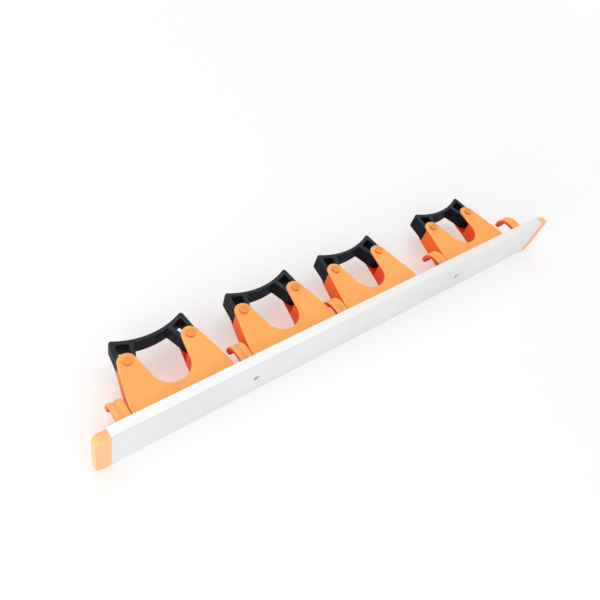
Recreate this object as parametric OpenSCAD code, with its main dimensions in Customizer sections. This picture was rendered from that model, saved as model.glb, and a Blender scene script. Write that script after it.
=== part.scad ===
// Wall rack for mop and broom handles: a slotted rail, four spring grips and five hooks.
// The wall plane is y = 0 and everything projects towards -y, x runs along the rail.
// The rack is drawn as it lies on a table, with the hooks turned down.
// Hung on a wall it is turned half a turn about y, so that the hooks open upwards.

/* [Rail] */
// Length of rail left free for sliding the holders and hooks
spare_l = 79.6; // [40:0.1:160]
// Height of the rail
rail_h = 46.8; // [40:0.2:60]
// Depth of the rail from the wall to its front face
rail_d = 9.6; // [8.8:0.1:14]
// Wall thickness of the rail
rail_wall = 1.8; // [1.4:0.1:2.2]
// Radius of the rail's long outer edges
rail_edge_r = 1.2; // [0.4:0.1:1.4]
// Distance between the two wall screws
screw_spacing = 239; // [120:1:300]
// Diameter of a wall screw hole
screw_d = 5; // [3:0.1:6]

/* [End caps] */
// Length of an end cap outside the rail
cap_l = 12; // [8:0.5:16]
// Radius of the cap's outer corners
cap_corner_r = 5; // [1:0.5:6]
// Length of the tongue that holds the cap in the rail
cap_tongue_l = 12; // [6:0.5:20]

/* [Handle holders] */
// Width of a holder along the rail
holder_w = 86; // [80:0.5:92]
// Height of a holder
holder_h = 19.4; // [16:0.1:24]
// Distance from the wall to the shoulder where the sides start to taper
shoulder_v = 21; // [17:0.5:26]
// Wall thickness of the holder's moulding
holder_wall = 2.4; // [1.6:0.1:3]
// Extra thickness of the wall round the throat
throat_lip_t = 0.8; // [0.5:0.1:1.5]
// Thickness of the ears above and below a grip jaw
ear_t = 1.8; // [1.4:0.1:3]
// Radius of an ear round its pivot pin
ear_r = 7.8; // [7:0.1:9]
// Radius of the round bottom of the throat
throat_r = 16.1; // [13:0.1:18]
// Distance from the wall to the centre of the round throat
throat_v = 38.9; // [35:0.1:44]

/* [Pivot pins] */
// Distance between the two pivot pins of a holder
pin_spacing = 54; // [50:0.5:58]
// Distance from the wall to the pivot pins
pin_v = 54.8; // [51:0.2:60]
// Radius of a pivot pin
pin_r = 2.4; // [1.6:0.1:3]
// Radius of a pin's domed head
pin_head_r = 3.6; // [3.2:0.1:5]
// Height of a pin's domed head
pin_head_h = 1.8; // [1:0.1:2.4]

/* [Rubber grips] */
// Width of a grip over its two outer front corners
grip_w = 63.5; // [58:0.5:68]
// Distance from the wall to the middle of the grip's front
grip_front_v = 70.2; // [66:0.2:76]
// Radius of the hollow front of a grip
grip_front_r = 64; // [50:1:100]
// Half the width of the thin web between the two jaws
web_half_w = 13.4; // [11:0.1:16]
// Thickness of the thin web between the two jaws
web_t = 3.4; // [1.4:0.1:4]
// Thickness of a jaw's rubber walls
jaw_wall = 4; // [2:0.1:5]
// Radius of a jaw's hub round its pin
hub_r = 6.6; // [5:0.1:7]
// Step by which a hub stands out from the jaw's walls
hub_step = 0.4; // [0.2:0.1:0.8]

/* [Hooks] */
// Width of a hook along the rail
hook_w = 11.4; // [8:0.2:13]
// Thickness of a hook
hook_t = 4.2; // [3:0.1:6]
// Distance from the wall to the outer face of a hook's tip
hook_reach = 34.6; // [30:0.2:44]
// Outer radius of a hook's bend
hook_bend_r = 12; // [9:0.5:14]
// Length of the straight tip beyond the bend
hook_tip_l = 4.2; // [3:0.1:8]
// Radius of the tip's two corners
hook_tip_r = 3; // [1:0.1:4]
// Thickness of the hook's plate in front of the rail
hook_plate_t = 2; // [1:0.1:3]
// Width of the groove along the back of a hook
hook_groove_w = 2; // [1:0.2:5]
// Depth of the groove along the back of a hook
hook_groove_depth = 0.9; // [0.3:0.1:1.2]

/* [Fits] */
// Thickness of the feet that slide inside the rail
foot_t = 3; // [2:0.1:3.6]
// Clearance round the pieces that slide in the rail
slide_clear = 0.3; // [0.2:0.05:0.5]
// Clearance of a hook from the holder beside it
hook_clear = 0.6; // [0.4:0.1:1.2]
// Clearance of a jaw between its two ears
jaw_clear = 0.3; // [0.2:0.05:0.5]
// Radial clearance of a pin in its holes
pin_clear = 0.06; // [0.03:0.01:0.1]
// Clearance of an end cap's tongue in the rail
tongue_clear = 0.1; // [0.05:0.05:0.3]

/* [Hidden] */
$fn = 96;
overrun = 1;
holder_count = 4;
hook_count = holder_count + 1;
sides = ["left", "right"];

// Shares of the spare length: the gaps from left to right between end cap, hooks and holders
gap_shares = [0.113, 0.231, 0.406, 0.031, 0.079, 0.14];

// Places along the rail
pitch = holder_w + hook_clear + hook_w;
rail_l = holder_count * pitch + hook_w + spare_l;
function sum_to(list, last) = last < 0 ? 0 : list[last] + sum_to(list, last - 1);
function holder_x(i) =
    -rail_l / 2 + hook_w + (i - 1) * pitch + spare_l * sum_to(gap_shares, i) + holder_w / 2;
function first_hook_x() = -rail_l / 2 + spare_l * gap_shares[0] + hook_w / 2;
function hook_x(i) =
    i == 1 ? first_hook_x() : holder_x(i - 1) + holder_w / 2 + hook_clear + hook_w / 2;

// Inside of the rail and the feet that slide in it
channel_half_h = rail_h / 2 - rail_wall;
slot_half_h = holder_h / 2 + slide_clear;
foot_half_h = channel_half_h - slide_clear;
foot_front_v = rail_d - rail_wall - slide_clear;
foot_back_v = foot_front_v - foot_t;
base_v = rail_d + slide_clear;

// Holder and grip
pin_u = pin_spacing / 2;
pin_hole_r = pin_r + pin_clear;
jaw_slot_h = holder_h - 2 * ear_t;
jaw_h = jaw_slot_h - 2 * jaw_clear;
jaw_slot_r = hub_r + jaw_clear;
front_v = grip_front_v + grip_w / 2;
front_arc_v = grip_front_v + grip_front_r;
corner_u = grip_w / 2;

// Height of the hook's arm, which is level with the holders
hook_top = holder_h / 2;
hook_bend_v = hook_reach - hook_bend_r;
hook_bend_z = hook_top - hook_bend_r;

function unit(angle) = [cos(angle), sin(angle)];
function angle_of(p) = atan2(p[1], p[0]);
function front_at(u) = front_arc_v - sqrt(grip_front_r * grip_front_r - u * u);
// Point where a line from p touches the circle round c, on its side 1 or -1
function touch_point(p, c, r, side) =
    let (d = norm(c - p))
    p + sqrt(d * d - r * r) * unit(angle_of(c - p) + side * asin(r / d));
// Direction square to the line that passes between the throat and the ear
function throat_normal() =
    let (to_ear = [pin_u, pin_v - throat_v])
    unit(angle_of(to_ear) - acos((throat_r + ear_r) / norm(to_ear)));

// Plan drawings are made with v pointing out from the wall and are turned to -y here
module plan_extrude(h) {
    mirror([0, 1, 0])
        linear_extrude(h, center = true)
            children();
}

// Side drawings have v pointing out from the wall and z up, and are extruded along x
module side_extrude(l) {
    rotate([90, 0, -90])
        linear_extrude(l, center = true)
            children();
}

module on_side(side) {
    mirror([side == "left" ? 1 : 0, 0, 0])
        children();
}

module both_sides() {
    for (s = sides)
        on_side(s)
            children();
}

module on_pin() {
    translate([pin_u, pin_v])
        children();
}

module rounded_rect(w, h, r) {
    translate([r, 0])
        square([w - 2 * r, h]);
    translate([0, r])
        square([w, h - 2 * r]);
    for (x = [r, w - r])
        for (y = [r, h - r])
            translate([x, y])
                circle(r);
}

module rail_section() {
    difference() {
        translate([0, -rail_h / 2])
            rounded_rect(rail_d, rail_h, rail_edge_r);
        translate([rail_wall, -channel_half_h])
            square([rail_d - 2 * rail_wall, 2 * channel_half_h]);
        translate([rail_d / 2, -slot_half_h])
            square([rail_d, 2 * slot_half_h]);
    }
}

module rail() {
    color("gainsboro")
        difference() {
            side_extrude(rail_l)
                rail_section();
            for (x = [-screw_spacing / 2, screw_spacing / 2])
                translate([x, overrun, 0])
                    rotate([90, 0, 0])
                        cylinder(h = rail_wall + 2 * overrun, d = screw_d);
        }
}

// Rectangle from the rail's end outwards, with its outer corners rounded
module cap_outline(low, high) {
    l = cap_l - cap_corner_r;
    translate([0, low])
        square([l, high - low]);
    translate([0, low + cap_corner_r])
        square([cap_l, high - low - 2 * cap_corner_r]);
    for (y = [low + cap_corner_r, high - cap_corner_r])
        translate([l, y])
            circle(cap_corner_r);
}

module end_cap(side) {
    tongue_v = rail_wall + tongue_clear;
    tongue_t = foot_back_v - slide_clear - tongue_v;
    tongue_half_h = channel_half_h - tongue_clear;
    color("darkorange")
        on_side(side)
            translate([rail_l / 2, 0, 0]) {
                intersection() {
                    plan_extrude(rail_h)
                        cap_outline(-cap_corner_r - rail_d, rail_d);
                    rotate([90, 0, 0])
                        linear_extrude(rail_d)
                            cap_outline(-rail_h / 2, rail_h / 2);
                }
                translate([-cap_tongue_l, -tongue_v - tongue_t, -tongue_half_h])
                    cube([cap_tongue_l + cap_l / 2, tongue_t, 2 * tongue_half_h]);
            }
}

// Right half of a holder's plan, drawn smaller by inset on every side
module holder_half_plan(inset) {
    ear = [pin_u, pin_v];
    r = ear_r - inset;
    n = throat_normal();
    shoulder = [holder_w / 2 - inset, shoulder_v];
    polygon([
        [0, base_v + inset],
        [holder_w / 2 - inset, base_v + inset],
        shoulder,
        touch_point(shoulder, ear, r, -1),
        ear,
        ear - r * n,
        [0, throat_v] + (throat_r + inset) * n,
        [0, throat_v]
    ]);
    on_pin()
        circle(r);
}

module holder_plan(inset, throat_inset) {
    difference() {
        both_sides()
            holder_half_plan(inset);
        translate([0, throat_v])
            circle(throat_r + throat_inset);
    }
}

// Room for a jaw's hub and for its inner wall as it swings into the throat
module jaw_room(margin) {
    r = jaw_slot_r + margin;
    on_pin()
        circle(r);
    translate([0, pin_v - r])
        square([pin_u, front_v]);
    on_pin()
        square([holder_w / 2, front_v]);
}

// Hollow inside the holder's walls, open towards the wall through its foot
module holder_core_plan() {
    difference() {
        holder_plan(holder_wall, holder_wall + throat_lip_t);
        both_sides()
            jaw_room(holder_wall);
    }
    translate([holder_wall - holder_w / 2, foot_back_v - overrun])
        square([holder_w - 2 * holder_wall, base_v + holder_wall + 2 * overrun - foot_back_v]);
}

// Foot and neck that carry a piece of width w in the rail's slot
module rail_foot(w, neck_v) {
    side_extrude(w) {
        translate([foot_back_v, -foot_half_h])
            square([foot_t, 2 * foot_half_h]);
        translate([foot_back_v, -holder_h / 2])
            square([neck_v - foot_back_v, holder_h]);
    }
}

module holder(i) {
    color("orange")
        translate([holder_x(i), 0, 0])
            difference() {
                union() {
                    plan_extrude(holder_h)
                        holder_plan(0, 0);
                    rail_foot(holder_w, base_v + holder_wall);
                }
                plan_extrude(jaw_slot_h)
                    both_sides()
                        jaw_room(0);
                plan_extrude(holder_h - 2 * holder_wall)
                    holder_core_plan();
                both_sides()
                    translate([pin_u, -pin_v, 0])
                        cylinder(h = holder_h + 2 * overrun, r = pin_hole_r, center = true);
            }
}

module dome(r, h) {
    ball_r = (r * r + h * h) / (2 * h);
    intersection() {
        translate([0, 0, h - ball_r])
            sphere(ball_r);
        cylinder(h = h, r = r);
    }
}

module pivot_pin(i, side) {
    color("darkorange")
        translate([holder_x(i), 0, 0])
            on_side(side)
                translate([pin_u, -pin_v, 0]) {
                    cylinder(h = holder_h, r = pin_r, center = true);
                    translate([0, 0, holder_h / 2])
                        dome(pin_head_r, pin_head_h);
                }
}

// Flat sided outline of a jaw, drawn smaller by inset
module jaw_outline(inset) {
    pin = [pin_u, pin_v];
    outer = [corner_u, front_at(corner_u)];
    inner = [web_half_w, front_at(web_half_w)];
    outer_touch = touch_point(outer, pin, hub_r - hub_step, 1);
    inner_touch = touch_point(inner, pin, hub_r - hub_step, -1);
    outer_in = unit(angle_of(pin - outer_touch));
    inner_in = unit(angle_of(pin - inner_touch));
    polygon([
        inner_touch + inset * inner_in,
        inner + inset * inner_in,
        outer + inset * outer_in,
        outer_touch + inset * outer_in,
        pin
    ]);
}

// Disc that hollows out the front of a grip, larger by inset
module front_disc(inset) {
    translate([0, front_arc_v])
        circle(grip_front_r + inset);
}

module hub_disc() {
    on_pin()
        circle(hub_r);
}

// Hollow inside a jaw's walls, open above and below
module jaw_cell() {
    difference() {
        jaw_outline(jaw_wall);
        front_disc(jaw_wall);
        hub_disc();
    }
}

module grip_jaw(i, side) {
    color("darkslategray")
        translate([holder_x(i), 0, 0])
            on_side(side)
                difference() {
                    union() {
                        plan_extrude(jaw_h)
                            difference() {
                                jaw_outline(0);
                                front_disc(0);
                            }
                        plan_extrude(jaw_h)
                            hub_disc();
                    }
                    plan_extrude(jaw_h + overrun)
                        jaw_cell();
                    plan_extrude(jaw_h + overrun)
                        on_pin()
                            circle(pin_hole_r);
                }
}

// Half of the thin web that joins the two jaws
module web_plan() {
    difference() {
        intersection() {
            front_disc(web_t);
            translate([0, pin_v])
                square([web_half_w + web_t, front_arc_v - pin_v]);
        }
        front_disc(0);
        jaw_outline(0);
    }
}

module grip_web(i, side) {
    color("darkslategray")
        translate([holder_x(i), 0, 0])
            on_side(side)
                plan_extrude(jaw_h)
                    web_plan();
}

// Side view of a hook's arm, bend and tip, lowered by depth from its outer face
module hook_side(depth) {
    translate([foot_front_v, hook_top - hook_t])
        square([hook_bend_v - foot_front_v, hook_t - depth]);
    translate([hook_bend_v, hook_bend_z])
        intersection() {
            difference() {
                circle(hook_bend_r - depth);
                circle(hook_bend_r - hook_t);
            }
            square(hook_bend_r);
        }
    translate([hook_reach - hook_t, hook_bend_z - hook_tip_l])
        square([hook_t - depth, hook_tip_l]);
}

// Hook seen from the front, with its tip's corners rounded
module hook_front() {
    tip_z = hook_bend_z - hook_tip_l;
    translate([-hook_w / 2, tip_z])
        rounded_rect(hook_w, hook_top + hook_tip_r + overrun - tip_z, hook_tip_r);
}

module hook(i) {
    color("orange")
        translate([hook_x(i), 0, 0]) {
            rail_foot(hook_w, base_v + hook_plate_t);
            intersection() {
                difference() {
                    side_extrude(hook_w)
                        hook_side(0);
                    side_extrude(hook_groove_w)
                        difference() {
                            hook_side(0);
                            hook_side(hook_groove_depth);
                        }
                }
                rotate([90, 0, 0])
                    linear_extrude(hook_reach + overrun)
                        hook_front();
            }
        }
}

rail();
end_cap("left");  // end_cap_left
end_cap("right");  // end_cap_right
for (i = [1:holder_count]) {
    holder(i);
    for (s = sides) {
        pivot_pin(i, s);
        grip_jaw(i, s);
        grip_web(i, s);
    }
}
for (i = [1:hook_count])
    hook(i);
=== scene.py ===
import math

import bmesh
import bpy
from mathutils import Matrix, Vector


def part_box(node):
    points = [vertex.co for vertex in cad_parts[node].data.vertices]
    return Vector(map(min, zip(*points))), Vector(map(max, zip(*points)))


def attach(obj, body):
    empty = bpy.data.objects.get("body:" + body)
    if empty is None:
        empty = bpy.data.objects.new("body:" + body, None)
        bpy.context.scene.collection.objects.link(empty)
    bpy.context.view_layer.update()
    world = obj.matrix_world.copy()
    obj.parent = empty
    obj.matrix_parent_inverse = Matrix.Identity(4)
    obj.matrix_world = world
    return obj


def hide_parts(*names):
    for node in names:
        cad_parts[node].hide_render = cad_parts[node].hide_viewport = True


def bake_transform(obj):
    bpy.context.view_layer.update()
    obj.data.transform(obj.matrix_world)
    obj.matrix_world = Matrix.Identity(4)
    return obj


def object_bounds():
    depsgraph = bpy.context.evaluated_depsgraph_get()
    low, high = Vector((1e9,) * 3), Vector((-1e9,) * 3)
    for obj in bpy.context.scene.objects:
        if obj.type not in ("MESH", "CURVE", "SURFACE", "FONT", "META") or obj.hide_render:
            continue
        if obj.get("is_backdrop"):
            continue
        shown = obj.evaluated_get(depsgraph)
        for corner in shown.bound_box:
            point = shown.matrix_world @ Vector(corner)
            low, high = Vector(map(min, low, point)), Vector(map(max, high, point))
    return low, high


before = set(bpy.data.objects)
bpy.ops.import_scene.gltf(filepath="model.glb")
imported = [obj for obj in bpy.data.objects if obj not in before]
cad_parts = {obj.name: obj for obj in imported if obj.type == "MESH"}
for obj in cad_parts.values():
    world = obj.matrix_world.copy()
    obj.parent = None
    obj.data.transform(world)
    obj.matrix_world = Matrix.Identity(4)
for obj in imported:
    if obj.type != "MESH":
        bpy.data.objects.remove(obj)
cadLow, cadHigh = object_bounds()
scene = bpy.context.scene
mm = 0.001
holderNumbers = (1, 2, 3, 4)
hookNumbers = (1, 2, 3, 4, 5)
sides = {"left": -1, "right": 1}


# flat geometry: u along the rail, v out from the wall

cornerSteps = 6
straightLimit = 1e-3  # sine of a turn so small that two edges count as one line


def unitAt(angle):
    return Vector((math.cos(angle), math.sin(angle)))


def angleOf(way):
    return math.atan2(way.y, way.x)


def shortTurn(start, end):
    return (end - start + math.pi) % (2 * math.pi) - math.pi


def arcPoints(centre, radius, start, turn, steps):
    return [centre + radius * unitAt(start + turn * k / steps) for k in range(steps + 1)]


def circlePoints(centre, radius, steps):
    return arcPoints(centre, radius, 0, 2 * math.pi, steps)[:-1]


def rectangle(half, back, front):
    return [Vector(p) for p in ((-half, back), (half, back), (half, front), (-half, front))]


def touchPoint(point, centre, radius, side):  # where a line from point touches a circle
    way = centre - point
    reach = math.sqrt(way.length_squared - radius ** 2)
    return point + reach * unitAt(angleOf(way) + side * math.asin(radius / way.length))


def lineMeetsCircle(point, way, centre, radius, side):  # side -1 is the first meeting point
    along = (centre - point).dot(way)
    off = (centre - point).length_squared - along ** 2
    return point + way * (along + side * math.sqrt(radius ** 2 - off))


def roundCorner(before, corner, after, radius, steps=cornerSteps):
    toBefore, toAfter = (before - corner).normalized(), (after - corner).normalized()
    half = math.acos(max(-1, min(1, toBefore.dot(toAfter)))) / 2
    centre = corner + (toBefore + toAfter).normalized() * radius / math.sin(half)
    reach = radius / math.tan(half)
    start = angleOf(corner + toBefore * reach - centre)
    end = angleOf(corner + toAfter * reach - centre)
    return arcPoints(centre, radius, start, shortTurn(start, end), steps)


def roundedOutline(corners):  # corners are (point, radius)
    points = []
    for k, (corner, radius) in enumerate(corners):
        before, after = corners[k - 1][0], corners[(k + 1) % len(corners)][0]
        points += roundCorner(before, corner, after, radius) if radius else [corner]
    return points


def leftTurning(outline):
    area = sum(a.x * b.y - b.x * a.y for a, b in zip(outline, outline[1:] + outline[:1]))
    return outline if area > 0 else outline[::-1]


def shiftOutline(outline, distance, isHeld):  # each edge moves to its left, a held one stays
    count = len(outline)
    edges = []
    for k, point in enumerate(outline):
        after = outline[(k + 1) % count]
        way = (after - point).normalized()
        stays = isHeld and isHeld(point, after)
        edges.append((Vector((-way.y, way.x)), 0 if stays else distance))
    moved = []
    for k, point in enumerate(outline):
        (n0, d0), (n1, d1) = edges[k - 1], edges[k]
        cross = n0.x * n1.y - n0.y * n1.x
        if abs(cross) < straightLimit:
            moved.append(point + n1 * d1)
        else:
            moved.append(point + Vector((d0 * n1.y - d1 * n0.y, n0.x * d1 - n1.x * d0)) / cross)
    return moved


# meshes

rimSteps = 4
latheSteps = 40
creaseAngle = math.radians(34)  # an edge that turns further stays sharp
faceWeight = 100  # large flat faces set the normals beside them


def fromPlan(u, v, z):
    return Vector((u, -v, z))


def joinRings(bm, rings):  # a ring of one point closes as a fan
    for under, over in zip(rings, rings[1:]):
        for k in range(max(len(under), len(over))):
            low = [under[n % len(under)] for n in (k - 1, k)]
            high = [over[n % len(over)] for n in (k, k - 1)]
            bm.faces.new(list(dict.fromkeys(low + high)))


def rimLevels(loop, rim, inward, isHeld):  # outlines and heights of a quarter round
    levels = []
    for k in range(rimSteps + 1):
        turn = math.pi / 2 * k / rimSteps
        edge = shiftOutline(loop, inward * rim * (1 - math.sin(turn)), isHeld)
        levels.append((edge, rim * (1 - math.cos(turn))))
    return levels


# a closed prism with round rims, which don't draw in a held edge
def addPrism(bm, outer, low, high, rim, place, holes=(), isHeld=None, highRim=None):
    ends = ([], [])
    for loop, inward in [(outer, 1)] + [(hole, -1) for hole in holes]:
        loop = leftTurning(loop)
        lowLevels = rimLevels(loop, rim, inward, isHeld)
        highLevels = rimLevels(loop, highRim or rim, inward, isHeld)
        stack = [(edge, low + rise) for edge, rise in lowLevels]
        stack += [(edge, high - rise) for edge, rise in reversed(highLevels)]
        rings = [[bm.verts.new(place(p.x, p.y, h)) for p in edge] for edge, h in stack]
        joinRings(bm, rings)
        ends[0].append(rings[0])
        ends[1].append(rings[-1])
    for rings in ends:
        if len(rings) == 1:
            bm.faces.new(rings[0])
        else:
            rimEdges = [bm.edges.get((ring[k - 1], ring[k])) for ring in rings for k in range(len(ring))]
            bmesh.ops.triangle_fill(bm, edges=rimEdges, use_beauty=True)


def addLathe(bm, profile):  # profile is (radius, height), from axis to axis
    rings = []
    for radius, height in profile:
        count = latheSteps if radius else 1
        points = [radius * unitAt(2 * math.pi * k / latheSteps) for k in range(count)]
        rings.append([bm.verts.new((*p, height)) for p in points])
    joinRings(bm, rings)


def newObject(name, bm):
    bmesh.ops.recalc_face_normals(bm, faces=bm.faces)
    mesh = bpy.data.meshes.new(name)
    bm.to_mesh(mesh)
    bm.free()
    obj = bpy.data.objects.new(name, mesh)
    scene.collection.objects.link(obj)
    return obj


def combine(target, tool, how):  # the helper mesh is used up
    cut = target.modifiers.new("combine", "BOOLEAN")
    cut.operation, cut.solver, cut.object = how, "EXACT", tool
    made = bpy.data.meshes.new_from_object(target.evaluated_get(bpy.context.evaluated_depsgraph_get()))
    target.modifiers.clear()
    target.data = made
    bpy.data.objects.remove(tool)


def keepMesh(obj):  # the object goes, its mesh stays for the copies
    mesh = obj.data
    bpy.data.objects.remove(obj)
    return mesh


def movedCopy(source, name, shift):
    mesh = source.copy()
    mesh.name = name
    mesh.transform(Matrix.Translation(shift))
    obj = bpy.data.objects.new(name, mesh)
    scene.collection.objects.link(obj)
    return obj


def dress(obj, material, slotName, *nodes):
    obj.data.materials.clear()
    obj.data.materials.append(material)
    obj.data.shade_smooth()
    obj.data.set_sharp_from_angle(angle=creaseAngle)
    flat = obj.modifiers.new("flatFaces", "WEIGHTED_NORMAL")
    flat.keep_sharp, flat.weight = True, faceWeight
    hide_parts(*nodes)
    return obj


# shader groups

def srgb(red, green, blue):
    return tuple(((c / 255 + 0.055) / 1.055) ** 2.4 for c in (red, green, blue)) + (1.0,)


def addNode(tree, kind, at, inputs=None, **settings):
    node = tree.nodes.new(kind)
    node.location = at
    for name, value in settings.items():
        setattr(node, name, value)
    for name, value in (inputs or {}).items():
        node.inputs[name].default_value = value
    return node


def newGroup(name, inputs, outputs):  # inputs are name: start value, outputs are name: socket type
    tree = bpy.data.node_groups.new(name, "ShaderNodeTree")
    for label, value in inputs.items():
        socket = tree.interface.new_socket(label, in_out="INPUT", socket_type="NodeSocketFloat")
        socket.default_value = value
    for label, kind in outputs.items():
        tree.interface.new_socket(label, in_out="OUTPUT", socket_type=kind)
    start = addNode(tree, "NodeGroupInput", (-900, 0))
    end = addNode(tree, "NodeGroupOutput", (500, 0))
    return tree, start.outputs, end.inputs


def makeGrainGroup():  # fine skin and uneven gloss of a surface
    tree, given, out = newGroup("mouldedGrain", {"Size": 0.6 * mm, "Spread": 0.5},
                                {"Height": "NodeSocketFloat", "Gloss": "NodeSocketFloat"})
    place = addNode(tree, "ShaderNodeTexCoord", (-900, 250))
    rate = addNode(tree, "ShaderNodeMath", (-700, 0), {0: 1.0}, operation="DIVIDE")
    fine = addNode(tree, "ShaderNodeTexNoise", (-450, 200), {"Detail": 3.0, "Roughness": 0.6})
    broad = addNode(tree, "ShaderNodeMath", (-600, -180), {1: 0.06}, operation="MULTIPLY")
    cloud = addNode(tree, "ShaderNodeTexNoise", (-420, -180), {"Detail": 4.0, "Roughness": 0.55})
    spread = addNode(tree, "ShaderNodeMapRange", (-150, -180),
                     {"From Min": 0.3, "From Max": 0.7, "To Min": 0.0})
    link = tree.links.new
    link(given["Size"], rate.inputs[1])
    link(rate.outputs[0], fine.inputs["Scale"])
    link(rate.outputs[0], broad.inputs[0])
    link(broad.outputs[0], cloud.inputs["Scale"])
    for noise in (fine, cloud):
        link(place.outputs["Object"], noise.inputs["Vector"])
    link(cloud.outputs["Fac"], spread.inputs["Value"])
    link(given["Spread"], spread.inputs["To Max"])
    link(fine.outputs["Fac"], out["Height"])
    link(spread.outputs["Result"], out["Gloss"])
    return tree


def makeEdgeGroup():  # 0 on open faces, 1 along edges, broken up in patches
    tree, given, out = newGroup("patchyEdges", {"Width": 1.0 * mm, "Breakup": 0.5},
                                {"Mask": "NodeSocketFloat"})
    place = addNode(tree, "ShaderNodeTexCoord", (-900, -250))
    soft = addNode(tree, "ShaderNodeBevel", (-650, 200), samples=6)
    true = addNode(tree, "ShaderNodeNewGeometry", (-650, 0))
    same = addNode(tree, "ShaderNodeVectorMath", (-450, 120), operation="DOT_PRODUCT")
    bent = addNode(tree, "ShaderNodeMapRange", (-250, 120),
                   {"From Min": 0.985, "From Max": 0.80, "To Min": 0.0, "To Max": 1.0})
    noise = addNode(tree, "ShaderNodeTexNoise", (-650, -250), {"Scale": 260.0, "Detail": 3.0})
    patchy = addNode(tree, "ShaderNodeMapRange", (-420, -250),
                     {"From Min": 0.3, "From Max": 0.7, "To Min": 1.0})
    keep = addNode(tree, "ShaderNodeMath", (-620, -450), {0: 1.0}, operation="SUBTRACT")
    mask = addNode(tree, "ShaderNodeMath", (0, 0), operation="MULTIPLY")
    link = tree.links.new
    link(given["Width"], soft.inputs["Radius"])
    link(soft.outputs["Normal"], same.inputs[0])
    link(true.outputs["Normal"], same.inputs[1])
    link(same.outputs["Value"], bent.inputs["Value"])
    link(place.outputs["Object"], noise.inputs["Vector"])
    link(noise.outputs["Fac"], patchy.inputs["Value"])
    link(given["Breakup"], keep.inputs[1])
    link(keep.outputs[0], patchy.inputs["To Max"])
    link(bent.outputs["Result"], mask.inputs[0])
    link(patchy.outputs["Result"], mask.inputs[1])
    link(mask.outputs[0], out["Mask"])
    return tree


def makeHandledGroup():  # broad uneven tone that handling and dust leave
    tree, given, out = newGroup("handledTone", {"Scale": 22.0, "Amount": 0.5},
                                {"Mask": "NodeSocketFloat"})
    place = addNode(tree, "ShaderNodeTexCoord", (-900, -250))
    cloud = addNode(tree, "ShaderNodeTexNoise", (-600, 100),
                    {"Detail": 5.0, "Roughness": 0.6, "Distortion": 0.4})
    tone = addNode(tree, "ShaderNodeMapRange", (-300, 100),
                   {"From Min": 0.38, "From Max": 0.66, "To Min": 0.0})
    link = tree.links.new
    link(place.outputs["Object"], cloud.inputs["Vector"])
    link(given["Scale"], cloud.inputs["Scale"])
    link(cloud.outputs["Fac"], tone.inputs["Value"])
    link(given["Amount"], tone.inputs["To Max"])
    link(tone.outputs["Result"], out["Mask"])
    return tree


# Flat: outer top and bottom faces, Outer: faces turned up or away from the wall, Rim: round rims. These masks
# place painted light: pale lit faces, painted shade on walls and a painted highlight on the rims
def makeFaceGroup():
    tree, given, out = newGroup("paintedFaceLight", {"Start": 0.7, "Full": 0.96},
                                dict.fromkeys(("Flat", "Outer", "Rim"), "NodeSocketFloat"))
    place = addNode(tree, "ShaderNodeTexCoord", (-900, -200))
    facing = addNode(tree, "ShaderNodeSeparateXYZ", (-700, -100))
    spot = addNode(tree, "ShaderNodeSeparateXYZ", (-700, 100))
    half = addNode(tree, "ShaderNodeMath", (-500, 100), operation="SIGN")  # 1 above the middle, -1 below
    level = addNode(tree, "ShaderNodeMath", (-300, 100), operation="MULTIPLY")
    lean = addNode(tree, "ShaderNodeVectorMath", (-700, -300), {1: (0.0, -0.6, 0.8)},
                   operation="DOT_PRODUCT")
    link = tree.links.new
    link(place.outputs["Normal"], facing.inputs[0])
    link(place.outputs["Normal"], lean.inputs[0])
    link(place.outputs["Object"], spot.inputs[0])
    link(spot.outputs["Z"], half.inputs[0])
    link(facing.outputs["Z"], level.inputs[0])
    link(half.outputs[0], level.inputs[1])
    for at, turned, name in ((200, level.outputs[0], "Flat"), (-200, lean.outputs["Value"], "Outer")):
        tone = addNode(tree, "ShaderNodeMapRange", (-100, at), {"To Min": 0.0, "To Max": 1.0})
        link(turned, tone.inputs["Value"])
        link(given["Start"], tone.inputs["From Min"])
        link(given["Full"], tone.inputs["From Max"])
        link(tone.outputs["Result"], out[name])
    band = addNode(tree, "ShaderNodeMath", (-100, -450), {1: 0.6, 2: 0.3}, operation="COMPARE")
    link(level.outputs[0], band.inputs[0])
    link(band.outputs[0], out["Rim"])
    return tree


def makeRecessGroup():  # 0 in the open, 1 deep in slots and narrow gaps, where painted shade goes
    tree, given, out = newGroup("recesses", {"Reach": 5 * mm, "Open": 0.75, "Deep": 0.3},
                                {"Mask": "NodeSocketFloat"})
    shade = addNode(tree, "ShaderNodeAmbientOcclusion", (-500, 0), samples=8, only_local=True)
    tone = addNode(tree, "ShaderNodeMapRange", (-200, 0), {"To Min": 0.0, "To Max": 1.0})
    link = tree.links.new
    link(given["Reach"], shade.inputs["Distance"])
    link(shade.outputs["AO"], tone.inputs["Value"])
    link(given["Open"], tone.inputs["From Min"])
    link(given["Deep"], tone.inputs["From Max"])
    link(tone.outputs["Result"], out["Mask"])
    return tree


grainGroup, edgeGroup, handledGroup = makeGrainGroup(), makeEdgeGroup(), makeHandledGroup()
faceGroup, recessGroup = makeFaceGroup(), makeRecessGroup()
print("shader groups built")


# materials

def newMaterial(name, shaderSettings):
    material = bpy.data.materials.new(name)
    material.use_nodes = True
    tree = material.node_tree
    tree.nodes.clear()
    shader = addNode(tree, "ShaderNodeBsdfPrincipled", (300, 0), shaderSettings)
    output = addNode(tree, "ShaderNodeOutputMaterial", (600, 0))
    tree.links.new(shader.outputs["BSDF"], output.inputs["Surface"])
    return material, tree, shader


def placeGroup(tree, group, at, inputs):
    node = addNode(tree, "ShaderNodeGroup", at, node_tree=group, name=group.name)
    for name, value in inputs.items():
        node.inputs[name].default_value = value
    return node


mixFirst, mixSecond, mixResult = 6, 7, 2  # places of the colour sockets on a mix node


def mixColour(tree, at, first, second):
    return addNode(tree, "ShaderNodeMix", at, {mixFirst: first, mixSecond: second}, data_type="RGBA")


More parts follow.
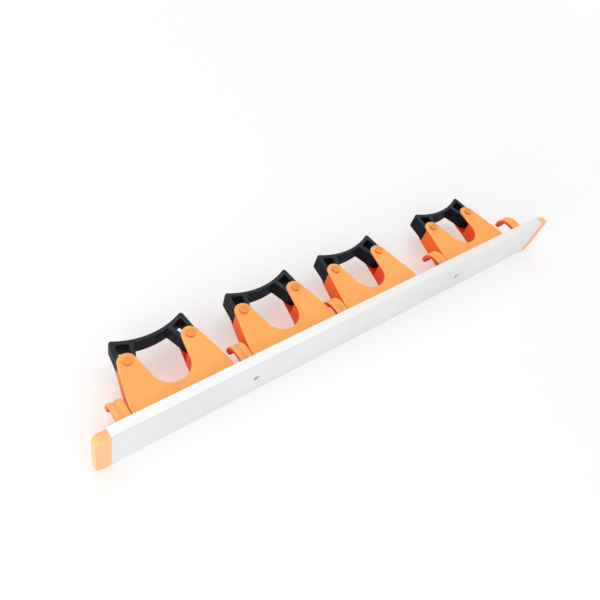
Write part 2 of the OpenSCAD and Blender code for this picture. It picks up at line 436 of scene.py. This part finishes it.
def makeMoulded(name, look):  # one build for the plastics and the rubber, each with its own look
    material, tree, shader = newMaterial(name, look["shader"])
    link = tree.links.new
    grain = placeGroup(tree, grainGroup, (-900, -200), look["grain"])
    handled = placeGroup(tree, handledGroup, (-900, 300), look["handled"])
    faces = placeGroup(tree, faceGroup, (-900, 500), look["faces"])
    recess = placeGroup(tree, recessGroup, (-900, 700), look["recess"])
    faceTone = mixColour(tree, (-600, 300), look["flatColour"], look["handledColour"])
    # painted light and shade: faces that the tone mask picks take the pale lit flat colour, the others the
    # wall colour
    body = mixColour(tree, (-400, 300), look["wallColour"], look["flatColour"])
    # painted highlight on the round rims, plus the patchy edge mask for edge wear; both lift the colour
    # towards the edge colour
    edgeWearAndRimHighlight = addNode(tree, "ShaderNodeMath", (-400, 50), {1: look["rimLight"], 2: 0.0},
                   operation="MULTIPLY_ADD", use_clamp=True)
    edgeTone = mixColour(tree, (-200, 200), look["flatColour"], look["edgeColour"])
    # painted shade in recesses, held off the lit faces as far as the face shield says
    deep = mixColour(tree, (0, 200), look["flatColour"], look["recessShadeColour"])
    shielded = addNode(tree, "ShaderNodeMath", (-400, 600), {1: -look["faceShield"], 2: 1.0},
                       operation="MULTIPLY_ADD")
    hidden = addNode(tree, "ShaderNodeMath", (-200, 600), operation="MULTIPLY")
    rough = addNode(tree, "ShaderNodeMapRange", (-350, -100),
                    {"To Min": look["roughness"][0], "To Max": look["roughness"][1]})
    bump = addNode(tree, "ShaderNodeBump", (0, -250),
                   {"Strength": look["bump"], "Distance": look["bumpDepth"]})
    link(handled.outputs["Mask"], faceTone.inputs[0])
    link(faceTone.outputs[mixResult], body.inputs[mixSecond])
    link(faces.outputs[look["tone"]], body.inputs[0])
    link(body.outputs[mixResult], edgeTone.inputs[mixFirst])
    link(faces.outputs["Rim"], edgeWearAndRimHighlight.inputs[0])
    if look["edges"]:
        edges = placeGroup(tree, edgeGroup, (-900, 100), look["edges"])
        link(edges.outputs["Mask"], edgeWearAndRimHighlight.inputs[2])
    link(edgeWearAndRimHighlight.outputs[0], edgeTone.inputs[0])
    link(edgeTone.outputs[mixResult], deep.inputs[mixFirst])
    link(faces.outputs[look["tone"]], shielded.inputs[0])
    link(shielded.outputs[0], hidden.inputs[0])
    link(recess.outputs["Mask"], hidden.inputs[1])
    link(hidden.outputs[0], deep.inputs[0])
    link(deep.outputs[mixResult], shader.inputs["Base Color"])
    link(grain.outputs["Gloss"], rough.inputs["Value"])
    link(rough.outputs["Result"], shader.inputs["Roughness"])
    link(grain.outputs["Height"], bump.inputs["Height"])
    link(bump.outputs["Normal"], shader.inputs["Normal"])
    return material


# Painted light on the holders: the pale flat colour stands for lit outer faces, the wall colour for shade on
# walls and inward faces, the deep red for painted shade in the throat and slot, and the rim light with the
# lighter edge colour for a painted highlight along the rims, partly edge wear.
holderLook = {
    "flatColour": srgb(255, 179, 104), "handledColour": srgb(254, 172, 92), "wallColour": srgb(255, 106, 36),
    "edgeColour": srgb(255, 198, 130), "recessShadeColour": srgb(255, 58, 18), "rimLight": 0.35,
    "roughness": (0.44, 0.58), "bump": 0.12, "bumpDepth": 0.1 * mm,
    "tone": "Flat", "faces": {"Start": 0.2, "Full": 0.6},
    "recess": {"Reach": 40 * mm, "Open": 0.95, "Deep": 0.55}, "faceShield": 1.0,
    "grain": {"Size": 0.5 * mm, "Spread": 1.0},
    "edges": {"Width": 0.8 * mm, "Breakup": 0.35},
    "handled": {"Scale": 24.0, "Amount": 0.9},
    "shader": {"Specular IOR Level": 0.12, "IOR": 1.49},
}
# Painted light on the hooks: outer faces take the pale lit colour, inner faces the red of painted shade, and
# the grooves painted shade.
hookLook = dict(holderLook, flatColour=srgb(255, 186, 108), handledColour=srgb(252, 170, 88),
                wallColour=srgb(242, 66, 26), recessShadeColour=srgb(214, 84, 26), tone="Outer",
                faces={"Start": -0.15, "Full": 0.5}, recess={"Reach": 2 * mm, "Open": 0.97, "Deep": 0.6},
                faceShield=0.0)  # its grooves, which take painted shade, lie in the outer faces
# Painted shade on the pin heads: the dark wall colour on the side of each head, with the dome darkening
# towards it.
pinLook = dict(holderLook, flatColour=srgb(249, 157, 78), handledColour=srgb(242, 144, 66),
               wallColour=srgb(176, 50, 12), rimLight=0.0, faces={"Start": 0.8, "Full": 0.98})
# Painted light on the caps: their walls take a pale colour like their tops, standing in for end faces washed
# out by light.
capLook = dict(holderLook, flatColour=srgb(255, 194, 126), handledColour=srgb(255, 202, 142),
               wallColour=srgb(255, 194, 146))
# Painted light on the rubber: lighter top faces, near black walls, painted shade in the cells and a painted
# highlight on the rims.
rubberLook = {
    "flatColour": srgb(46, 52, 60), "handledColour": srgb(34, 40, 48), "wallColour": srgb(6, 10, 20),
    "edgeColour": srgb(76, 86, 98), "recessShadeColour": srgb(4, 6, 12), "rimLight": 0.2,
    "roughness": (0.5, 0.68), "bump": 0.25, "bumpDepth": 0.1 * mm,
    "tone": "Flat", "faces": {"Start": 0.7, "Full": 0.96},
    "recess": {"Reach": 8 * mm, "Open": 0.5, "Deep": 0.1}, "faceShield": 0.0,
    "grain": {"Size": 0.35 * mm, "Spread": 1.0},
    "edges": None,  # rubber rubs off nowhere, and the two halves of a web meet without a line
    "handled": {"Scale": 60.0, "Amount": 0.9},
    "shader": {"Specular IOR Level": 0.14, "IOR": 1.5},
}
holderPlastic = makeMoulded("holderPlastic", holderLook)
hookPlastic = makeMoulded("hookPlastic", hookLook)
pinPlastic = makeMoulded("pinPlastic", pinLook)
capPlastic = makeMoulded("capPlastic", capLook)
gripRubber = makeMoulded("gripRubber", rubberLook)

railLook = {
    "colour": srgb(234, 234, 234), "drawnColour": srgb(214, 216, 216), "edgeColour": srgb(168, 170, 172),
    "roughness": (0.36, 0.5), "bump": 0.1, "bumpDepth": 0.05 * mm,
    "lineWidth": 0.4 * mm, "lineLength": 60 * mm,
    "grain": {"Size": 0.8 * mm, "Spread": 1.0},
    "edges": {"Width": 1.4 * mm, "Breakup": 0.3},
    "handled": {"Scale": 9.0, "Amount": 0.8},
    "shader": {"Metallic": 0.3, "IOR": 1.5},
}


def makeDrawnAluminium(name, look):
    material, tree, shader = newMaterial(name, look["shader"])
    link = tree.links.new
    grain = placeGroup(tree, grainGroup, (-700, -250), look["grain"])
    edges = placeGroup(tree, edgeGroup, (-700, 100), look["edges"])
    handled = placeGroup(tree, handledGroup, (-700, 350), look["handled"])
    place = addNode(tree, "ShaderNodeTexCoord", (-1100, -50))
    stretch = addNode(tree, "ShaderNodeMapping", (-920, -50),
                      {"Scale": (1 / look["lineLength"], 1 / look["lineWidth"], 1 / look["lineWidth"])})
    lines = addNode(tree, "ShaderNodeTexNoise", (-700, -60), {"Scale": 1.0, "Detail": 4.0, "Roughness": 0.65})
    body = mixColour(tree, (-400, 300), look["colour"], look["drawnColour"])
    # the edges turn towards a darker edge colour
    edgeTone = mixColour(tree, (-100, 200), look["colour"], look["edgeColour"])
    blotch = addNode(tree, "ShaderNodeMath", (-550, 200), operation="MULTIPLY")
    rough = addNode(tree, "ShaderNodeMapRange", (-350, -100),
                    {"To Min": look["roughness"][0], "To Max": look["roughness"][1]})
    bump = addNode(tree, "ShaderNodeBump", (0, -250),
                   {"Strength": look["bump"], "Distance": look["bumpDepth"]})
    link(place.outputs["Object"], stretch.inputs["Vector"])
    link(stretch.outputs["Vector"], lines.inputs["Vector"])
    link(lines.outputs["Fac"], blotch.inputs[0])
    link(handled.outputs["Mask"], blotch.inputs[1])
    link(blotch.outputs[0], body.inputs[0])
    link(body.outputs[mixResult], edgeTone.inputs[mixFirst])
    link(edges.outputs["Mask"], edgeTone.inputs[0])
    link(edgeTone.outputs[mixResult], shader.inputs["Base Color"])
    link(grain.outputs["Gloss"], rough.inputs["Value"])
    link(rough.outputs["Result"], shader.inputs["Roughness"])
    link(lines.outputs["Fac"], bump.inputs["Height"])
    link(bump.outputs["Normal"], shader.inputs["Normal"])
    return material


railAluminium = makeDrawnAluminium("railAluminium", railLook)
print("materials built")


# rail: one drawn section with a slot along its front

railLow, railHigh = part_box("rail")
railDepth, railHalfH = -railLow.y, railHigh.z
holderHalfH = -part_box("pivot_pin_left_1")[0].z
railShape = {
    "wall": 1.8 * mm, "edge": 1.2 * mm, "lip": 0.5 * mm, "insideCorner": 0.2 * mm, "slotClear": 0.3 * mm,
    "endRim": 0.15 * mm, "screwSpacing": 239 * mm, "screwRadius": 2.5 * mm, "screwRim": 0.1 * mm,
    "screwSteps": 32,
}


def buildRail(shape):
    wall, edge, lip, inner = shape["wall"], shape["edge"], shape["lip"], shape["insideCorner"]
    slot, inside = holderHalfH + shape["slotClear"], railHalfH - wall
    half = [((railDepth - wall, inside), inner), ((railDepth - wall, slot), lip), ((railDepth, slot), lip),
            ((railDepth, railHalfH), edge), ((0, railHalfH), edge)]
    other = [((v, -z), r) for (v, z), r in reversed(half)]
    back = [((wall, -inside), inner), ((wall, inside), inner)]
    section = roundedOutline([(Vector(p), r) for p, r in half + other + back])
    bm = bmesh.new()
    addPrism(bm, section, railLow.x, railHigh.x, shape["endRim"], lambda v, z, x: Vector((x, -v, z)))
    rail = newObject("railDrawn", bm)
    overrun = wall  # a hole runs this far past both faces of the wall
    for x in (-shape["screwSpacing"] / 2, shape["screwSpacing"] / 2):
        circle = circlePoints(Vector((x, 0)), shape["screwRadius"], shape["screwSteps"])
        hole = bmesh.new()
        addPrism(hole, circle, -wall - overrun, overrun, shape["screwRim"], lambda a, z, y: Vector((a, y, z)))
        combine(rail, newObject("screwHole", hole), "DIFFERENCE")
    dress(rail, railAluminium, "rail_aluminium", "rail")
    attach(rail, "rail")


buildRail(railShape)
print("rail built")


# end caps: rounded blocks that close the rail

capShape = {"corner": 6 * mm, "backRim": 1.0 * mm, "frontRim": 5.6 * mm}


def buildCap(side, sign, shape):
    low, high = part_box("end_cap_" + side)
    start, end = railHigh.x, max(abs(low.x), abs(high.x))
    outline = roundedOutline([
        (Vector((start, low.z)), 0), (Vector((end, low.z)), shape["corner"]),
        (Vector((end, high.z)), shape["corner"]), (Vector((start, high.z)), 0)])
    bm = bmesh.new()
    addPrism(bm, outline, -high.y, -low.y, shape["backRim"], lambda x, z, v: Vector((sign * x, -v, z)),
             isHeld=lambda p, q: p.x == start and q.x == start, highRim=shape["frontRim"])
    cap = dress(newObject("endCapBlock_" + side, bm), capPlastic, "cap_plastic", "end_cap_" + side)
    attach(cap, "rail")


for side, sign in sides.items():
    buildCap(side, sign, capShape)
print("end caps built")


# holders: fork with a round throat, ears split for the grip, neck and foot in the rail

holderLow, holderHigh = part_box("holder_1")
pinLow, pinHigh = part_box("pivot_pin_right_1")
holderMid = (holderLow.x + holderHigh.x) / 2
pinU, pinV = (pinLow.x + pinHigh.x) / 2 - holderMid, -(pinLow.y + pinHigh.y) / 2
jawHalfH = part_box("grip_jaw_left_1")[1].z
holderShape = {
    "width": holderHigh.x - holderLow.x, "shoulder": 21 * mm, "shoulderRadius": 14 * mm, "shoulderSteps": 8,
    "earRadius": 7.8 * mm, "earSteps": 36, "throatRadius": 16.1 * mm, "throatV": 38.9 * mm, "throatSteps": 24,
    "rim": 1.4 * mm, "slotRadius": 7.7 * mm, "slotFall": 6 * mm, "slotSteps": 12, "slotRim": 0.2 * mm,
    "jawClear": 0.3 * mm, "footBack": -holderHigh.y, "footThick": 3 * mm, "footRim": 0.3 * mm,
    "skin": 0.05 * mm,  # keeps the foot's sides and back off the fork's
}


def holderHalf(shape):  # right half of the plan, from the foot to the bottom of the throat
    ear, throat = Vector((pinU, pinV)), Vector((0, shape["throatV"]))
    earRadius, throatRadius = shape["earRadius"], shape["throatRadius"]
    toEar = ear - throat
    normal = unitAt(angleOf(toEar) - math.acos((throatRadius + earRadius) / toEar.length))
    heel = Vector((shape["width"] / 2, shape["footBack"]))
    shoulder = Vector((shape["width"] / 2, shape["shoulder"]))
    touch = touchPoint(shoulder, ear, earRadius, -1)
    outer = angleOf(touch - ear)
    earTurn = (angleOf(-normal) - outer) % (2 * math.pi)
    start = angleOf(normal)
    throatTurn = shortTurn(start, -math.pi / 2)
    return ([heel] + roundCorner(heel, shoulder, touch, shape["shoulderRadius"], shape["shoulderSteps"])
            + arcPoints(ear, earRadius, outer, earTurn, shape["earSteps"])
            + arcPoints(throat, throatRadius, start, throatTurn, shape["throatSteps"]))


def mirrored(points):
    return [Vector((-p.x, p.y)) for p in reversed(points)]


def buildHolderMesh(shape):
    half = holderHalf(shape)
    bm = bmesh.new()
    addPrism(bm, half + mirrored(half)[1:], -holderHalfH, holderHalfH, shape["rim"], fromPlan)
    holder = newObject("holderMould", bm)
    far, beyond, radius = shape["width"], 2 * pinV, shape["slotRadius"]  # the slot runs out past the ears
    side = [Vector((far, beyond)), Vector((far, pinV)), Vector((pinU + radius, pinV))]
    side += arcPoints(Vector((pinU, pinV)), radius, 0, -math.pi / 2, shape["slotSteps"])
    side.append(Vector((shape["throatRadius"], pinV - radius - shape["slotFall"])))
    slotHalfH = jawHalfH + shape["jawClear"]
    slot = bmesh.new()
    addPrism(slot, side + mirrored(side), -slotHalfH, slotHalfH, shape["slotRim"], fromPlan)
    combine(holder, newObject("jawSlot", slot), "DIFFERENCE")
    back = shape["footBack"] + shape["skin"]
    front = back + shape["footThick"] - shape["skin"]
    outline = rectangle(shape["width"] / 2 - shape["skin"], back, front)
    foot = bmesh.new()
    addPrism(foot, outline, holderLow.z, holderHigh.z, shape["footRim"], fromPlan)
    combine(holder, newObject("railFoot", foot), "UNION")
    return keepMesh(holder)


holderMesh = buildHolderMesh(holderShape)
holderPlaces = {}
for number in holderNumbers:
    node = "holder_%d" % number
    low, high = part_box(node)
    holderPlaces[number] = Vector(((low.x + high.x) / 2, 0, 0))
    holder = movedCopy(holderMesh, "holderFork_%d" % number, holderPlaces[number])
    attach(dress(holder, holderPlastic, "holder_plastic", node), node)
print("holders built")


# pivot pins: a domed head above the upper ear, flush below

pinShape = {"radius": 2.4 * mm, "headRadius": 3.6 * mm, "headHeight": pinHigh.z - holderHalfH,
            "headSide": 1.4 * mm, "headDraft": 0.1 * mm, "sink": 0.05 * mm, "chamfer": 0.4 * mm,
            "domeSteps": 10}


def buildPinMesh(shape):
    radius, head, chamfer, sink = shape["radius"], shape["headRadius"], shape["chamfer"], shape["sink"]
    low, top = -holderHalfH, holderHalfH  # faces of the two ears
    dome = top + shape["headSide"]
    rise = shape["headHeight"] - shape["headSide"]
    ball = (head ** 2 + rise ** 2) / (2 * rise)
    profile = [(0, low), (radius - chamfer, low), (radius, low + chamfer), (radius, top - 2 * sink),
               (head - shape["headDraft"], top - sink), (head, dome)]
    for k in range(1, shape["domeSteps"] + 1):
        across = head * (1 - k / shape["domeSteps"])
        profile.append((across, dome + rise - ball + math.sqrt(ball ** 2 - across ** 2)))
    bm = bmesh.new()
    addLathe(bm, profile)
    return keepMesh(newObject("pinMould", bm))


pinMesh = buildPinMesh(pinShape)
for number in holderNumbers:
    for side, sign in sides.items():
        node = "pivot_pin_%s_%d" % (side, number)
        spot = holderPlaces[number] + Vector((sign * pinU, -pinV, 0))
        pin = movedCopy(pinMesh, "pinDome_%s_%d" % (side, number), spot)
        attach(dress(pin, pinPlastic, "pin_plastic", node), "holder_%d" % number)
print("pivot pins built")


# rubber grips: two hollow jaws and a thin web, made as one moulding in two halves

gripShape = {
    "width": 63.5 * mm, "frontV": 70.2 * mm, "frontRadius": 64 * mm, "frontSteps": 28, "corner": 2.4 * mm,
    "cornerLead": 4 * mm, "wall": 4.0 * mm, "hub": 7.5 * mm, "hubSteps": 30, "rim": 0.8 * mm,
    "webHalf": 13.4 * mm, "web": 3.4 * mm, "webSteps": 14, "webFillet": 1.4 * mm, "webGap": 0.02 * mm,
    "cellCorner": 1.0 * mm, "cellSteps": 10, "boreClear": 0.06 * mm, "boreSteps": 28,
    "apart": 0.3 * mm,  # least distance of two points where an arc runs into a rounded corner
    "nearMiddle": 0.001 * mm, "blendEnd": 3 * mm,
}


def halfGripOutlines(shape):  # right half: outline, cell and bore
    wall, web, hub, pin = shape["wall"], shape["web"], shape["hub"], Vector((pinU, pinV))
    middle = Vector((0, shape["frontV"] + shape["frontRadius"]))

    def frontAt(u, inward=0):  # on the hollow front, or that far behind it
        return Vector((u, middle.y - math.sqrt((shape["frontRadius"] + inward) ** 2 - u ** 2)))

    half, frontSteps, webSteps = shape["width"] / 2, shape["frontSteps"], shape["webSteps"]
    outer, inner = frontAt(half), frontAt(shape["webHalf"])
    outerTouch, innerTouch = touchPoint(outer, pin, hub, 1), touchPoint(inner, pin, hub, -1)
    outerWay, innerWay = (outer - outerTouch).normalized(), (inner - innerTouch).normalized()
    corner = roundCorner(frontAt(half - shape["cornerLead"]), outer, outerTouch, shape["corner"])
    front = [frontAt(half * k / frontSteps) for k in range(frontSteps + 1)]
    front = [p for p in front if p.x < corner[0].x - shape["apart"]]
    start, end = angleOf(outerTouch - pin), angleOf(innerTouch - pin)
    around = arcPoints(pin, hub, start, -((start - end) % (2 * math.pi)), shape["hubSteps"])
    join = lineMeetsCircle(innerTouch, innerWay, middle, shape["frontRadius"] + web, -1)
    inside = [frontAt(join.x * k / webSteps, web) for k in range(webSteps, -1, -1)]
    fillet = roundCorner(innerTouch, join, inside[1], shape["webFillet"])
    inside = [p for p in inside if p.x < fillet[-1].x - shape["apart"]]
    outline = front + corner + around + fillet + inside
    outerSide = outerTouch + (pin - outerTouch).normalized() * wall
    innerSide = innerTouch + (pin - innerTouch).normalized() * wall
    cellRadius = shape["frontRadius"] + wall
    innerHub = lineMeetsCircle(innerSide, innerWay, pin, hub, 1)
    innerFront = lineMeetsCircle(innerSide, innerWay, middle, cellRadius, -1)
    outerFront = lineMeetsCircle(outerSide, outerWay, middle, cellRadius, -1)
    outerHub = lineMeetsCircle(outerSide, outerWay, pin, hub, 1)
    hubStart = angleOf(outerHub - pin)
    hubTurn = shortTurn(hubStart, angleOf(innerHub - pin))
    cell = (roundCorner(innerHub, innerFront, outerFront, shape["cellCorner"])
            + roundCorner(innerFront, outerFront, outerHub, shape["cellCorner"])
            + arcPoints(pin, hub, hubStart, hubTurn, shape["cellSteps"]))
    bore = circlePoints(pin, pinShape["radius"] + shape["boreClear"], shape["boreSteps"])
    return outline, cell, bore


def buildGrip(number, side, sign, shape, outline, holes):
    mid = holderPlaces[number].x

    def place(u, v, z):  # the two halves stay a hair apart in the middle of the web
        return Vector((mid + sign * max(u, shape["webGap"]), -v, z))

    def isMiddle(p, q):
        return max(abs(p.x), abs(q.x)) < shape["nearMiddle"]

    bm = bmesh.new()
    addPrism(bm, outline, -jawHalfH, jawHalfH, shape["rim"], place, holes, isMiddle)
    jaw, web = "grip_jaw_%s_%d" % (side, number), "grip_web_%s_%d" % (side, number)
    grip = dress(newObject("rubberGrip_%s_%d" % (side, number), bm), gripRubber, "grip_rubber", jaw, web)
    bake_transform(grip)


gripOutline, gripCell, gripBore = halfGripOutlines(gripShape)
for number in holderNumbers:
    for side, sign in sides.items():
        buildGrip(number, side, sign, gripShape, gripOutline, (gripCell, gripBore))
print("rubber grips built")


# hooks: a grooved strap bent over at its end, with a plate and a foot in the rail

hookLow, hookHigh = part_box("hook_1")
hookShape = {
    "width": hookHigh.x - hookLow.x, "thick": 4.2 * mm, "edge": 0.9 * mm, "reach": -hookLow.y, "runSteps": 3,
    "bend": 12 * mm, "bendSteps": 18, "tip": 4.2 * mm, "tipCorner": 3 * mm, "tipSteps": 8,
    "groove": 2.0 * mm, "grooveDepth": 0.8 * mm, "grooveSlope": 1.1 * mm, "grooveEdge": 0.6 * mm,
    "clear": 0.3 * mm, "plate": 2 * mm, "plateDrop": 1.2 * mm, "plateRim": 0.4 * mm, "footThick": 3 * mm,
    "skin": 0.3 * mm, "nest": 0.02 * mm,
}


def hookSection(shape):  # across the strap: x along the rail, y down from its outer face
    half, thick, edge = shape["width"] / 2, shape["thick"], shape["edge"]
    groove, depth, soft = shape["groove"] / 2, shape["grooveDepth"], shape["grooveEdge"]
    brink = groove + shape["grooveSlope"]
    corners = [((-half, 0), edge), ((-brink, 0), soft), ((-groove, depth), soft),
               ((groove, depth), soft), ((brink, 0), soft), ((half, 0), edge),
               ((half, thick), edge), ((-half, thick), edge)]
    return roundedOutline([(Vector(p), r) for p, r in corners])


# outer face point, direction down into the strap, share of its width and how far its faces draw in
def hookStations(shape):
    bendV, bendZ = shape["reach"] - shape["bend"], holderHalfH - shape["bend"]
    down, back = Vector((0, -1)), Vector((-1, 0))
    start = railDepth + shape["clear"]
    stations = []
    for k in range(shape["runSteps"]):
        along = start + (bendV - start) * k / shape["runSteps"]
        stations.append((Vector((along, holderHalfH)), down, 1, 0))
    for k in range(shape["bendSteps"] + 1):
        way = unitAt(math.pi / 2 * (1 - k / shape["bendSteps"]))
        stations.append((Vector((bendV, bendZ)) + way * shape["bend"], -way, 1, 0))
    half, corner, edge, last = shape["width"] / 2, shape["tipCorner"], shape["edge"], shape["tip"]
    for k in range(1, shape["tipSteps"] + 1):
        toEnd = last * (1 - k / shape["tipSteps"])
        gone = max(0, corner - toEnd)
        share = (half - corner + math.sqrt(corner ** 2 - gone ** 2)) / half
        lift = edge - math.sqrt(edge ** 2 - max(0, edge - toEnd) ** 2)
        stations.append((Vector((shape["reach"], bendZ - last + toEnd)), back, share, lift))
    return stations


def buildHookMesh(shape):
    section = hookSection(shape)
    bm = bmesh.new()
    rings = []
    for point, way, share, lift in hookStations(shape):
        ring = []
        for p in section:
            deep = lift + p.y * (shape["thick"] - 2 * lift) / shape["thick"]
            spot = point + way * deep
            ring.append(bm.verts.new(fromPlan(p.x * share, spot.x, spot.y)))
        rings.append(ring)
    joinRings(bm, rings)
    bm.faces.new(rings[0])
    bm.faces.new(rings[-1])
    half, back = shape["width"] / 2 - shape["skin"], -hookHigh.y
    foot = back + shape["footThick"], hookHigh.z
    plate = railDepth + shape["clear"] + shape["plate"], holderHalfH - shape["plateDrop"]
    for front, halfH in (foot, plate):
        addPrism(bm, rectangle(half, back, front), -halfH, halfH, shape["plateRim"], fromPlan)
        half -= shape["nest"]  # the plate starts inside the foot
        back += shape["nest"]
    return keepMesh(newObject("hookMould", bm))


hookMesh = buildHookMesh(hookShape)
for number in hookNumbers:
    node = "hook_%d" % number
    low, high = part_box(node)
    hook = movedCopy(hookMesh, "hookStrap_%d" % number, Vector(((low.x + high.x) / 2, 0, 0)))
    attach(dress(hook, hookPlastic, "hook_plastic", node), node)
print("hooks built")


# floor, light and camera

# Painted bounce light: the warm settings give the floor between the holders a pink glow.
stageLook = {
    "size": 6.0, "colour": srgb(254, 254, 254), "drop": 0.05 * mm, "nearGlow": 0.35, "near": 0.3, "far": 1.0,
    "white": srgb(255, 255, 255), "paintedBounceColour": srgb(255, 222, 216), "warmGlow": 0.62,
    "warmReach": 60 * mm, "warmOpen": 0.78, "warmDeep": 0.4, "warmEdge": 12 * mm,
}


def seenRays(tree):  # 1 for rays that show the backdrop itself, also in gloss and glass
    light = addNode(tree, "ShaderNodeLightPath", (-700, 400))
    seen = light.outputs["Is Camera Ray"]
    for k, kind in enumerate(("Is Glossy Ray", "Is Transmission Ray")):
        either = addNode(tree, "ShaderNodeMath", (-500 + 180 * k, 400), operation="MAXIMUM")
        tree.links.new(seen, either.inputs[0])
        tree.links.new(light.outputs[kind], either.inputs[1])
        seen = either.outputs[0]
    return seen


def paintedBounceMask(tree, place, look):  # 1 where holders close in on the floor: there it gets a painted pink glow that stands in for light bounced off the orange plastic
    shade = addNode(tree, "ShaderNodeAmbientOcclusion", (-700, 700), {"Distance": look["warmReach"]},
                    samples=16)
    closed = addNode(tree, "ShaderNodeMapRange", (-500, 700), {
        "From Min": look["warmOpen"], "From Max": look["warmDeep"], "To Min": 0.0, "To Max": 1.0})
    spot = addNode(tree, "ShaderNodeSeparateXYZ", (-700, 900))
    front = addNode(tree, "ShaderNodeMapRange", (-500, 900), {  # 1 on the holders' side of the rail
        "From Min": 0.0, "From Max": -look["warmEdge"], "To Min": 0.0, "To Max": 1.0})
    mask = addNode(tree, "ShaderNodeMath", (-350, 800), operation="MULTIPLY")
    link = tree.links.new
    link(shade.outputs["AO"], closed.inputs["Value"])
    link(place.outputs["Object"], spot.inputs[0])
    link(spot.outputs["Y"], front.inputs["Value"])
    link(closed.outputs["Result"], mask.inputs[0])
    link(front.outputs["Result"], mask.inputs[1])
    return mask.outputs[0]


def buildFloor(look):
    bm = bmesh.new()
    bmesh.ops.create_grid(bm, x_segments=2, y_segments=2, size=look["size"])
    floor = newObject("floorSheet", bm)
    floor.location = (0, 0, cadLow.z - look["drop"])
    material, tree, shader = newMaterial("floorPaint", {
        "Base Color": look["colour"], "Roughness": 0.9, "Specular IOR Level": 0.1})
    link = tree.links.new
    place = addNode(tree, "ShaderNodeTexCoord", (-700, 150))
    away = addNode(tree, "ShaderNodeVectorMath", (-500, 150), operation="LENGTH")
    fade = addNode(tree, "ShaderNodeMapRange", (-300, 150), {
        "From Min": look["near"], "From Max": look["far"], "To Min": look["nearGlow"], "To Max": 1.0})
    warm = paintedBounceMask(tree, place, look)
    # painted bounce light: where the mask is on, the floor's glow turns pink and grows
    tint = mixColour(tree, (-200, 700), look["white"], look["paintedBounceColour"])
    warmShare = addNode(tree, "ShaderNodeMath", (-300, 550), {1: look["warmGlow"]}, operation="MULTIPLY")
    either = addNode(tree, "ShaderNodeMath", (-200, 500), operation="MAXIMUM")
    glow = addNode(tree, "ShaderNodeEmission", (0, 300), {"Strength": 1.0})
    share = addNode(tree, "ShaderNodeMath", (-100, 450), operation="MULTIPLY")
    mix = addNode(tree, "ShaderNodeMixShader", (450, 200))
    link(place.outputs["Object"], away.inputs[0])
    link(away.outputs["Value"], fade.inputs["Value"])
    link(warm, tint.inputs[0])
    link(tint.outputs[mixResult], glow.inputs["Color"])
    link(warm, warmShare.inputs[0])
    link(warmShare.outputs[0], either.inputs[0])
    link(fade.outputs["Result"], either.inputs[1])
    link(seenRays(tree), share.inputs[0])
    link(either.outputs[0], share.inputs[1])
    link(share.outputs[0], mix.inputs[0])
    link(shader.outputs["BSDF"], mix.inputs[1])
    link(glow.outputs["Emission"], mix.inputs[2])
    link(mix.outputs["Shader"], tree.nodes["Material Output"].inputs["Surface"])
    floor.data.materials.append(material)
    floor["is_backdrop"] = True


buildFloor(stageLook)

lightLook = {"world": 0.66, "keyPower": 18.0, "keySize": 2.4, "keyPlace": (-0.1, -0.8, 2.3),
             "fillPower": 14.0, "fillSize": 1.2, "fillPlace": (1.5, 0.7, 0.6)}


def buildLight(look):
    world = bpy.data.worlds.new("studioWhite")
    scene.world = world
    world.use_nodes = True
    tree = world.node_tree
    tree.nodes.clear()
    strength = addNode(tree, "ShaderNodeMapRange", (-100, 200), {"To Min": look["world"], "To Max": 1.0})
    back = addNode(tree, "ShaderNodeBackground", (150, 0), {"Color": (1, 1, 1, 1)})
    output = addNode(tree, "ShaderNodeOutputWorld", (400, 0))
    tree.links.new(seenRays(tree), strength.inputs["Value"])
    tree.links.new(strength.outputs["Result"], back.inputs["Strength"])
    tree.links.new(back.outputs["Background"], output.inputs["Surface"])
    for name in ("key", "fill"):
        lamp = bpy.data.lights.new(name + "Lamp", "AREA")
        lamp.energy, lamp.size = look[name + "Power"], look[name + "Size"]
        obj = bpy.data.objects.new(name + "Lamp", lamp)
        scene.collection.objects.link(obj)
        obj.location = look[name + "Place"]
        obj.rotation_euler = (-Vector(look[name + "Place"])).to_track_quat("-Z", "Y").to_euler()


buildLight(lightLook)

cameraView = {"place": (317.2 * mm, 158.5 * mm, 426.1 * mm), "lens": 37.24, "sensor": 36.0, "clip": 10 * mm,
              "right": (-0.7871, 0.5708, 0.2337), "up": (-0.3569, -0.7306, 0.5821)}


def buildCamera(view):
    data = bpy.data.cameras.new("photoCamera")
    data.lens, data.sensor_width = view["lens"], view["sensor"]
    data.clip_start = view["clip"]
    camera = bpy.data.objects.new("photoCamera", data)
    scene.collection.objects.link(camera)
    right = Vector(view["right"]).normalized()
    back = right.cross(Vector(view["up"])).normalized()
    up = back.cross(right)
    turn = Matrix((right, up, back)).transposed()
    camera.matrix_world = Matrix.Translation(view["place"]) @ turn.to_4x4()
    scene.camera = camera


buildCamera(cameraView)
scene.view_settings.view_transform = "Standard"
print("floor, light and camera set")

low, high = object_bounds()
